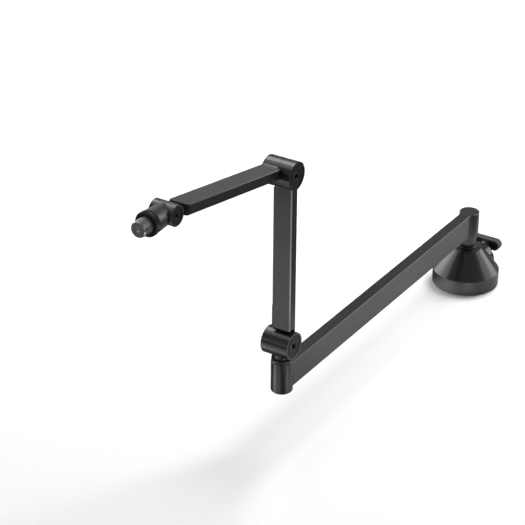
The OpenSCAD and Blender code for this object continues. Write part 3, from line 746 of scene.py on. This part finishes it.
@dataclass
class Hinge(SubAssembly):
    """Friction hinge: wide-headed bolt, end cap, disc, spring washer and nut.

    Attributes:
        body: body that the hinge's loose pieces turn with.
        name: start of the nodes' names.
        at: frame on the hinge's axis.
        near: near end of the barrel.
        far: far end of the barrel.
        head: radius of the bolt's wide head.
        shank: radius of the bolt.
        flats: size across flats of the hex socket.
        cap: thickness of the end cap.
        sink: depth of the head below the barrel's end.
        head_depth: thickness of the head.
        socket: depth of the socket.
        point: length of the chamfer at the bolt's tip.
        tip_gap: gap between the tip and the end cap.
        ring: radii of the groove in the head, as shares of the head.
        ring_depth: depth of that groove.
        cup: radii of the dish round the socket, as shares of the flats.
        cup_depth: depth of that dish.
        mouth: depth of the cone from the dish to the hexagon.
        drilled: depth of the drilled cone under the socket.
        cap_ring: radii of the groove in the cap, as shares of the head.
        cap_ring_depth: depth of that groove.
    """

    body: str = "upright"
    name: str = "low_tilt"
    at: Matrix = field(default_factory=Matrix)
    near: float = 14.2
    far: float = -17.0
    head: float = 12.1
    shank: float = 4.0
    flats: float = 5.0
    cap: float = 1.2
    sink: float = 0.3
    head_depth: float = 2.3
    socket: float = 4.5
    point: float = 0.8
    tip_gap: float = 0.1
    ring: tuple[float, ...] = (0.87, 0.855, 0.80, 0.785)
    ring_depth: float = 0.35
    cup: tuple[float, ...] = (0.95, 0.93, 0.66)
    cup_depth: float = 0.25
    mouth: float = 0.4
    drilled: float = 0.5
    cap_ring: tuple[float, ...] = (0.84, 0.82, 0.76, 0.74)
    cap_ring_depth: float = 0.3

    def build(self) -> None:
        """Builds the bolt and the cap, and dresses the hidden pieces."""
        self.piece(f"{self.name}_hex_bolt", [self._bolt()], self.at, DEEP_TURNED, "black_metal",
                   [f"{self.name}_bolt"])
        self.piece(f"{self.name}_end_cap", [self._cap()], self.at, SATIN_TURNED, "satin_black",
                   [f"{self.name}_cap"])
        self.dress([f"{self.name}_disc"], BRASS)
        self.dress([f"{self.name}_spring", f"{self.name}_nut"], STEEL)

    def _bolt(self) -> list[Loop]:
        """Turns the bolt and cuts its socket.

        Returns:
            The loops, from the tip to the bottom of the socket.
        """
        face = self.near - self.sink
        under = face - self.head_depth
        tip = self.far + self.cap + self.tip_gap
        h, f, r = self.head, self.flats, self.shank
        shaft = [(r - self.point, tip, 0), (r, tip + self.point, 0.2), (r, under, 0.1), (h, under, 0.2),
                 (h, face, 0.45)]
        rings = groove([h * share for share in self.ring], face, face - self.ring_depth)
        dish = groove([f * share for share in self.cup], face, face - self.cup_depth)
        top, bottom = face - self.cup_depth - self.mouth, face - self.socket
        sunk = [hexagon(f, top), hexagon(f, bottom), circle(f * 0.2, bottom - self.drilled)]
        return turned(shaft + rings + dish) + sunk

    def _cap(self) -> list[Loop]:
        """Turns the end cap.

        Returns:
            The loops, from the inside to the turned face with its centre mark.
        """
        h, face, inside = self.head, self.far, self.far + self.cap
        rings = groove([h * share for share in self.cap_ring], face, face + self.cap_ring_depth)
        return turned([(h * 0.5, inside, 0), (h, inside, 0.1), (h, face, 0.4), *rings,
                       (h * 0.2, face, 0.3), (h * 0.12, face + 0.5, 0)])


@dataclass
class Upright(SubAssembly):
    """Upright bar between the two large hinges.

    Attributes:
        body: body of the upright.
        edge: broken edges of the bar.
        strip_edge: broken edges of the strip.
        back: place of the strip's face along the arm.
        middle: middle of the bar across the arm.
        low: height of the first strip screw.
        high: height of the last strip screw.
    """

    body: str = "upright"
    edge: float = 0.25
    strip_edge: float = 0.1
    back: float = 414.4
    middle: float = 1.4
    low: float = 165.0
    high: float = 284.0

    def build(self) -> None:
        """Dresses the bar and adds the strip's screws."""
        self.dress(["upright"], SATIN, self.edge)
        self.dress(["upright_strip"], SATIN, self.strip_edge)
        heights = (self.low, (self.low + self.high) / 2.0, self.high)
        self.strip_screws("upright_strip_screw",
                          [moved(self.back, self.middle, z) @ spun(-90.0, "Y") for z in heights])


@dataclass
class UpperArm(SubAssembly):
    """Flat upper arm from the upright to the end hinge.

    Attributes:
        body: body of the arm.
        at: frame of the upper hinge, with Z upward.
        edge: broken edges of the arm.
        strip_edge: broken edges of the strip.
        face: height of the strip's face in that frame.
        low: first strip screw's place along the arm.
        high: last strip screw's place.
    """

    body: str = "upper_arm"
    at: Matrix = field(default_factory=Matrix)
    edge: float = 0.25
    strip_edge: float = 0.1
    face: float = -3.15
    low: float = 31.0
    high: float = 151.0

    def build(self) -> None:
        """Dresses the arm and adds the strip's screws."""
        self.dress(["upper_arm"], SATIN, self.edge)
        self.dress(["upper_strip"], SATIN, self.strip_edge)
        along = (self.low, (self.low + self.high) / 2.0, self.high)
        self.strip_screws("upper_strip_screw",
                          [self.at @ moved(x, ARM_MIDDLE, self.face) @ spun(180.0, "X") for x in along])


@dataclass
class MicMount(SubAssembly):
    """Stub with its threaded stud, thrust washer and knurled lock ring.

    Attributes:
        body: body of the stub.
        at: frame on the stub's axis, with Z outward.
        edge: broken edges of the stub.
        washer_edge: broken edges of the washer.
        radius: outer radius of the stud's thread.
        pitch: pitch of the thread, 27 to the inch.
        lead: chamfer at the thread's end.
        inside: where the stud starts in the stub.
        groove: where the relief groove starts.
        relief: depth of that groove.
        run_in: chamfer from the groove to the thread.
        start: where the open thread starts.
        end: end of the stud.
        end_inset: how far the stud's end face lies inside the thread.
        mark: radius of the centre mark in that face.
        mark_depth: depth of the mark.
        ring_start: where the lock ring starts.
        ring_end: where the lock ring ends.
        ring_radius: outer radius of the lock ring.
        ring_chamfer: chamfer of the lock ring's bore.
        teeth: number of knurl teeth.
        tooth: depth of the teeth.
        tooth_points: points of the outline in one tooth.
    """

    body: str = "mic_mount"
    at: Matrix = field(default_factory=Matrix)
    edge: float = 0.3
    washer_edge: float = 0.1
    radius: float = 7.94
    pitch: float = 25.4 / 27.0
    lead: float = 1.1
    inside: float = 17.0
    groove: float = 30.04
    relief: float = 0.4
    run_in: float = 0.3
    start: float = 31.44
    end: float = 41.94
    end_inset: float = 0.8
    mark: float = 2.2
    mark_depth: float = 1.2
    ring_start: float = 24.94
    ring_end: float = 29.94
    ring_radius: float = 12.2
    ring_chamfer: float = 0.4
    teeth: int = 60
    tooth: float = 0.5
    tooth_points: int = 8

    def build(self) -> None:
        """Dresses the stub, cuts the thread and knurls the lock ring."""
        self.dress(["mic_body"], CAST, self.edge)
        self.dress(["thrust_washer"], NYLON, self.washer_edge)
        r, root = self.radius, self.radius - self.relief
        shank = turned([(r, self.inside, 0), (r, self.groove, 0.05), (root, self.groove, 0.05),
                        (root, self.start, 0), (root - self.run_in, self.start + self.run_in, 0)],
                       ROUND_STUD)
        self.piece("mic_thread", [shank, self._stud()], self.at, STEEL, "steel", ["mic_stud"])
        self.piece("knurled_ring", [self._ring()], self.at, DEEP, "black_metal", ["lock_ring"],
                   ring=True, body="lock_ring")

    def _stud(self) -> list[Loop]:
        """Cuts the thread and closes it with a turned end face.

        Returns:
            The loops, from the thread's start to the bottom of the centre mark.
        """
        rows = thread(self.radius, self.pitch, self.start, self.end, self.lead, ROUND_STUD)
        r = self.radius - self.end_inset
        face = turned([(r, self.end, 0), (r - 0.4, self.end, 0.2), (self.mark, self.end, 0.2),
                       (0.4, self.end - self.mark_depth, 0)], ROUND_STUD)
        return rows + face

    def _ring(self) -> list[Loop]:
        """Knurls the lock ring outside and turns its smooth bore.

        Returns:
            The loops, from one side over the teeth to the other side and back through the bore.
        """
        r, deep, low, high = self.ring_radius, self.tooth, self.ring_start, self.ring_end
        shallow = deep * 0.4
        bore = self.radius + CLEARANCE
        mouth, lip = bore + self.ring_chamfer, self.ring_chamfer
        outside = [(r - 0.65, 0.0, low), (r - 0.3, shallow, low + 0.25), (r, deep, low + 0.6),
                   (r, deep, high - 0.6), (r - 0.3, shallow, high - 0.25), (r - 0.65, 0.0, high)]
        inside = [(mouth, 0.0, high), (bore, 0.0, high - lip), (bore, 0.0, low + lip), (mouth, 0.0, low)]
        count = self.teeth * self.tooth_points
        return [toothed(radius, depth, self.teeth, place, count)
                for radius, depth, place in outside + inside]


def joined(tree: bpy.types.NodeTree, operation: str, one: bpy.types.NodeSocket | float,
           other: bpy.types.NodeSocket | float) -> bpy.types.NodeSocket:
    """Joins two values of a node tree by one operation.

    Args:
        tree: nodes of the floor or the surroundings.
        operation: name of the operation.
        one: socket or number.
        other: socket or number.

    Returns:
        The socket with the outcome.
    """
    node = tree.nodes.new("ShaderNodeMath")
    node.operation = operation
    for entry, part in zip(node.inputs, (one, other)):
        if isinstance(part, bpy.types.NodeSocket):
            tree.links.new(part, entry)
        else:
            entry.default_value = part
    return node.outputs[0]


def sorted_rays(tree: bpy.types.NodeTree) -> tuple[bpy.types.NodeSocket, bpy.types.NodeSocket]:
    """Tells what the camera sees apart from what polished and clear faces show.

    Args:
        tree: nodes of the floor or the surroundings.

    Returns:
        The socket that is 1 for the camera, and the one that is 1 for such faces.
    """
    path = tree.nodes.new("ShaderNodeLightPath")
    mirror = joined(tree, "MAXIMUM", path.outputs["Is Glossy Ray"], path.outputs["Is Transmission Ray"])
    return path.outputs["Is Camera Ray"], mirror


@dataclass(frozen=True)
class Softbox:
    """One soft lamp, aimed at the arm.

    Attributes:
        name: name of the lamp.
        azimuth: direction from the arm to the lamp, in degrees from +X toward +Y.
        elevation: height of that direction above the horizon, in degrees.
        width: width of its face, in metres.
        height: height of its face.
        level: brightness of its face, where 1 is white.
        distance: distance from the arm.
        glossy: False if polished faces don't show it.
    """

    name: str
    azimuth: float
    elevation: float
    width: float
    height: float
    level: float
    distance: float = 2.6
    glossy: bool = True

    def build(self, aim: Vector) -> None:
        """Hangs the lamp so that its face looks at a point of the arm.

        Args:
            aim: the point, in metres.
        """
        a, e = math.radians(self.azimuth), math.radians(self.elevation)
        away = Vector((math.cos(a) * math.cos(e), math.sin(a) * math.cos(e), math.sin(e)))
        data = bpy.data.lights.new(self.name, "AREA")
        data.shape = "RECTANGLE"
        data.size, data.size_y = self.width, self.height
        data.energy = self.level * math.pi * self.width * self.height
        lamp = bpy.data.objects.new(self.name, data)
        lamp.visible_glossy = self.glossy
        turn = away.to_track_quat("Z", "Y").to_matrix().to_4x4()
        lamp.matrix_world = Matrix.Translation(aim + away * self.distance) @ turn
        bpy.context.scene.collection.objects.link(lamp)


@dataclass(frozen=True)
class Pool:
    """Round patch of the floor that fades out toward its rim: a painted reflection, or the clearing's mask.

    Attributes:
        x: middle of the patch, in metres.
        y: middle of the patch.
        reach: radius at which the patch has faded out.
        level: brightness of its middle, where 1 is white.
        core: radius up to which it is at its full level.
    """

    x: float
    y: float
    reach: float
    level: float
    core: float = 0.0

    def add(self, tree: bpy.types.NodeTree, place: bpy.types.NodeSocket) -> bpy.types.NodeSocket:
        """Adds the patch's nodes.

        Args:
            tree: the floor's nodes.
            place: the socket with the place on the floor.

        Returns:
            The socket with the patch's brightness.
        """
        gap = tree.nodes.new("ShaderNodeVectorMath")
        gap.operation = "DISTANCE"
        gap.inputs[1].default_value = (self.x, self.y, 0.0)
        fade = tree.nodes.new("ShaderNodeMapRange")
        fade.interpolation_type = "SMOOTHSTEP"
        fade.inputs["From Min"].default_value = self.reach
        fade.inputs["From Max"].default_value = self.core
        fade.inputs["To Max"].default_value = self.level
        tree.links.new(place, gap.inputs[0])
        tree.links.new(gap.outputs["Value"], fade.inputs["Value"])
        return fade.outputs["Result"]


# The key lamp makes the shadow. The others show as soft bands in the anodised faces.
SOFTBOXES = (
    Softbox("lamp_key", 172.0, 46.0, 1.6, 1.6, 12.0, glossy=False),
    Softbox("lamp_back_high", 238.0, 57.0, 1.1, 1.0, 3.0),
    Softbox("lamp_back_mid", 222.0, 42.0, 1.0, 0.7, 0.8),
    Softbox("lamp_back_low", 212.0, 12.0, 1.3, 0.9, 0.25),
    Softbox("lamp_back_left", 242.0, 14.0, 1.3, 1.1, 2.0),
    Softbox("lamp_left_rear", 268.0, 14.0, 1.2, 1.1, 2.6),
    Softbox("lamp_left", 296.0, 20.0, 1.2, 1.4, 1.3),
    Softbox("lamp_left_high", 290.0, 60.0, 1.1, 1.0, 0.9),
    Softbox("lamp_right_rear", 150.0, 14.0, 1.2, 1.1, 2.2),
    Softbox("lamp_right", 122.0, 16.0, 1.2, 1.2, 0.9),
    Softbox("lamp_right_high", 130.0, 38.0, 1.2, 0.9, 1.5),
    Softbox("lamp_front_right", 75.0, 15.0, 1.4, 1.0, 0.5),
    Softbox("lamp_front_left", 345.0, 12.0, 2.0, 1.0, 0.3),
)

# Painted reflections: patches of the floor that glow only in polished faces and brighten the arm's faces.
BEAM_POOLS = (
    Pool(-0.14, 0.09, 0.12, 0.55),
    Pool(-0.02, 0.09, 0.12, 0.6),
    Pool(0.10, 0.09, 0.12, 0.6),
    Pool(0.22, 0.09, 0.12, 0.6),
    Pool(0.34, 0.09, 0.10, 0.5),
)
ELBOW_POOLS = (
    Pool(0.53, -0.10, 0.09, 1.6),
    Pool(0.56, 0.00, 0.08, 0.8),
    Pool(0.42, 0.15, 0.08, 1.1),
)
UPRIGHT_POOLS = (
    Pool(0.64, -0.135, 0.11, 0.8),
    Pool(0.73, -0.195, 0.11, 0.85),
    Pool(0.82, -0.25, 0.11, 0.9),
    Pool(0.91, -0.31, 0.11, 0.95),
    Pool(0.60, 0.29, 0.16, 5.0),
    Pool(0.76, 0.46, 0.18, 5.0),
)
RIM_POOLS = (
    Pool(0.055, -0.015, 0.05, 1.2),
    Pool(0.055, 0.035, 0.03, 0.6),
)
POOLS = BEAM_POOLS + ELBOW_POOLS + UPRIGHT_POOLS + RIM_POOLS

# Part of the floor without the camera's full lift. Further out the floor is white to the camera.
CLEARING = Pool(0.30, 0.0, 2.2, 1.0, 0.9)


@dataclass
class Studio:
    """Floor, lamps and the camera at the photograph's viewing angle.

    Attributes:
        focal: focal length in the photograph's pixels.
        image: width of the photograph in pixels.
        sensor: width of the camera's sensor in millimetres.
        pitch: dip of the camera, in radians.
        roll: turn of the camera about its view, in radians.
        turn: heading of the camera, in radians.
        distance: distance from the camera to the foot's underside, along the view.
        sight: how far the camera sees.
        base_px: pixel where the middle of the foot's underside shows.
        aim: point of the arm that the lamps look at.
        ambient: brightness of the surroundings as a light.
        backdrop_sheen: brightness of the surroundings in polished faces.
        floor_half: half the floor's width.
        floor_drop: how far the floor lies below the foot.
        floor_lift: brightness that the camera adds to the floor near the arm.
        floor_sheen: brightness of the floor in polished faces.
        floor_colour: colour of the floor.
        floor_dim: share of that colour that polished faces lose, painted shade in the floor's reflections.
    """

    focal: float = 1849.69
    image: float = 525.0
    sensor: float = 36.0
    pitch: float = math.radians(28.3294)
    roll: float = math.radians(0.4136)
    turn: float = math.radians(57.407)
    distance: float = 2.25516
    sight: float = 50.0
    base_px: tuple[float, float] = (464.939, 280.023)
    aim: Point = (0.3, 0.0, 0.2)
    ambient: float = 0.15
    backdrop_sheen: float = 0.15
    floor_half: float = 12.0
    floor_drop: float = 0.0002
    floor_lift: float = 0.04
    floor_sheen: float = 0.02
    floor_colour: float = 0.76
    floor_dim: float = 0.925

    def build(self) -> None:
        """Sets up camera, surroundings, floor and lamps."""
        self.camera()
        self.surroundings()
        self.floor()
        for lamp in SOFTBOXES:
            lamp.build(Vector(self.aim))
        bpy.context.scene.view_settings.view_transform = "Standard"

    def surroundings(self) -> None:
        """Makes the world: white to the camera, dim in polished faces and as a light."""
        world = bpy.data.worlds.new("studio")
        bpy.context.scene.world = world
        world.use_nodes = True
        tree = world.node_tree
        back = tree.nodes["Background"]
        back.inputs["Color"].default_value = (1.0, 1.0, 1.0, 1.0)
        camera, mirror = sorted_rays(tree)
        shown = joined(tree, "MULTIPLY", mirror, self.backdrop_sheen)
        seen = joined(tree, "MAXIMUM", camera, shown)
        tree.links.new(joined(tree, "MAXIMUM", seen, self.ambient), back.inputs["Strength"])

    def floor(self) -> None:
        """Lays the pale floor, which keeps the arm's shadow."""
        shape = bmesh.new()
        bmesh.ops.create_grid(shape, x_segments=1, y_segments=1, size=self.floor_half)
        mesh = bpy.data.meshes.new("floor")
        shape.to_mesh(mesh)
        shape.free()
        mesh.materials.append(self.floor_material())
        floor = bpy.data.objects.new("floor", mesh)
        floor.location.z = -self.floor_drop
        bpy.context.scene.collection.objects.link(floor)

    def floor_material(self) -> bpy.types.Material:
        """Makes the floor's material: matt, with glowing patches as painted reflections in polished faces.

        Returns:
            The material.
        """
        made = bpy.data.materials.new("pale_floor")
        made.use_nodes = True
        tree = made.node_tree
        tree.nodes.clear()
        place = tree.nodes.new("ShaderNodeNewGeometry").outputs["Position"]
        camera, mirror = sorted_rays(tree)
        painted_reflections: bpy.types.NodeSocket | float = self.floor_sheen
        # The patches glow only in polished faces: painted reflections in the arm.
        for pool in POOLS:
            painted_reflections = joined(tree, "ADD", painted_reflections, pool.add(tree, place))
        lift = joined(tree, "SUBTRACT", 1.0 + self.floor_lift, CLEARING.add(tree, place))
        mirrored = joined(tree, "MULTIPLY", mirror, painted_reflections)
        seen = joined(tree, "MULTIPLY", camera, lift)
        glow = tree.nodes.new("ShaderNodeEmission")
        tree.links.new(joined(tree, "ADD", mirrored, seen), glow.inputs["Strength"])
        # Polished faces see the floor darker than the camera does: painted shade in its reflections.
        painted_shade = joined(tree, "MULTIPLY", mirror, self.floor_colour * self.floor_dim)
        matt = tree.nodes.new("ShaderNodeBsdfDiffuse")
        tree.links.new(joined(tree, "SUBTRACT", self.floor_colour, painted_shade), matt.inputs["Color"])
        both = tree.nodes.new("ShaderNodeAddShader")
        out = tree.nodes.new("ShaderNodeOutputMaterial")
        tree.links.new(matt.outputs[0], both.inputs[0])
        tree.links.new(glow.outputs[0], both.inputs[1])
        tree.links.new(both.outputs[0], out.inputs["Surface"])
        return made

    def camera(self) -> None:
        """Places the camera, from the pixel where the middle of the foot's underside shows."""
        ahead = Vector((-math.sin(self.turn), -math.cos(self.turn), 0.0))
        side = Vector((-math.cos(self.turn), math.sin(self.turn), 0.0))
        up = Vector((0.0, 0.0, 1.0))
        view = math.cos(self.pitch) * ahead - math.sin(self.pitch) * up
        lift = math.sin(self.pitch) * ahead + math.cos(self.pitch) * up
        right = side * math.cos(self.roll) + lift * math.sin(self.roll)
        top = -side * math.sin(self.roll) + lift * math.cos(self.roll)
        half = self.image / 2.0
        across = (self.base_px[0] - half) / self.focal
        upward = (half - self.base_px[1]) / self.focal
        spot = -self.distance * (across * right + upward * top + view)
        data = bpy.data.cameras.new("camera")
        data.sensor_width = self.sensor
        data.lens = self.focal * self.sensor / self.image
        data.clip_end = self.sight
        camera = bpy.data.objects.new("camera", data)
        turn = Matrix((right, top, -view)).transposed()
        camera.matrix_world = Matrix.Translation(spot) @ turn.to_4x4()
        bpy.context.scene.collection.objects.link(camera)
        bpy.context.scene.camera = camera


def main() -> None:
    """Builds every sub-assembly in order and the studio round it."""
    logging.basicConfig(level=logging.INFO, format="%(message)s")
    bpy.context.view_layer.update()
    top = moved(ELBOW_X, 0.0, TOP_HINGE_Z) @ spun(-ARM_RISE, "Y")
    mic = top @ Vector((MIC_HINGE_X * MM, 0.0, MIC_HINGE_Z * MM))
    stub = Matrix.Translation(mic + Vector((0.0, ARM_MIDDLE * MM, 0.0))) @ spun(90.0, "Y")
    parts: Sequence[SubAssembly] = (
        Base(),
        ClampScrew(),
        LowerArm(),
        ElbowHead(),
        Hinge(at=hinge_frame(ELBOW_X, LOW_HINGE_Z)),
        Upright(),
        Hinge(body="upper_arm", name="top_tilt", at=hinge_frame(ELBOW_X, TOP_HINGE_Z, ARM_RISE), far=-18.5),
        UpperArm(at=top),
        Hinge(body="upper_arm", name="mic_tilt", at=hinge_frame(mic.x / MM, mic.z / MM), near=5.5,
              far=-19.3, head=8.35, shank=3.0, flats=4.0, cap=0.8),
        MicMount(at=stub),
    )
    for part in parts:
        log.info("%s", type(part).__name__)
        part.build()
    Studio().build()


if __name__ == "__main__":
    main()
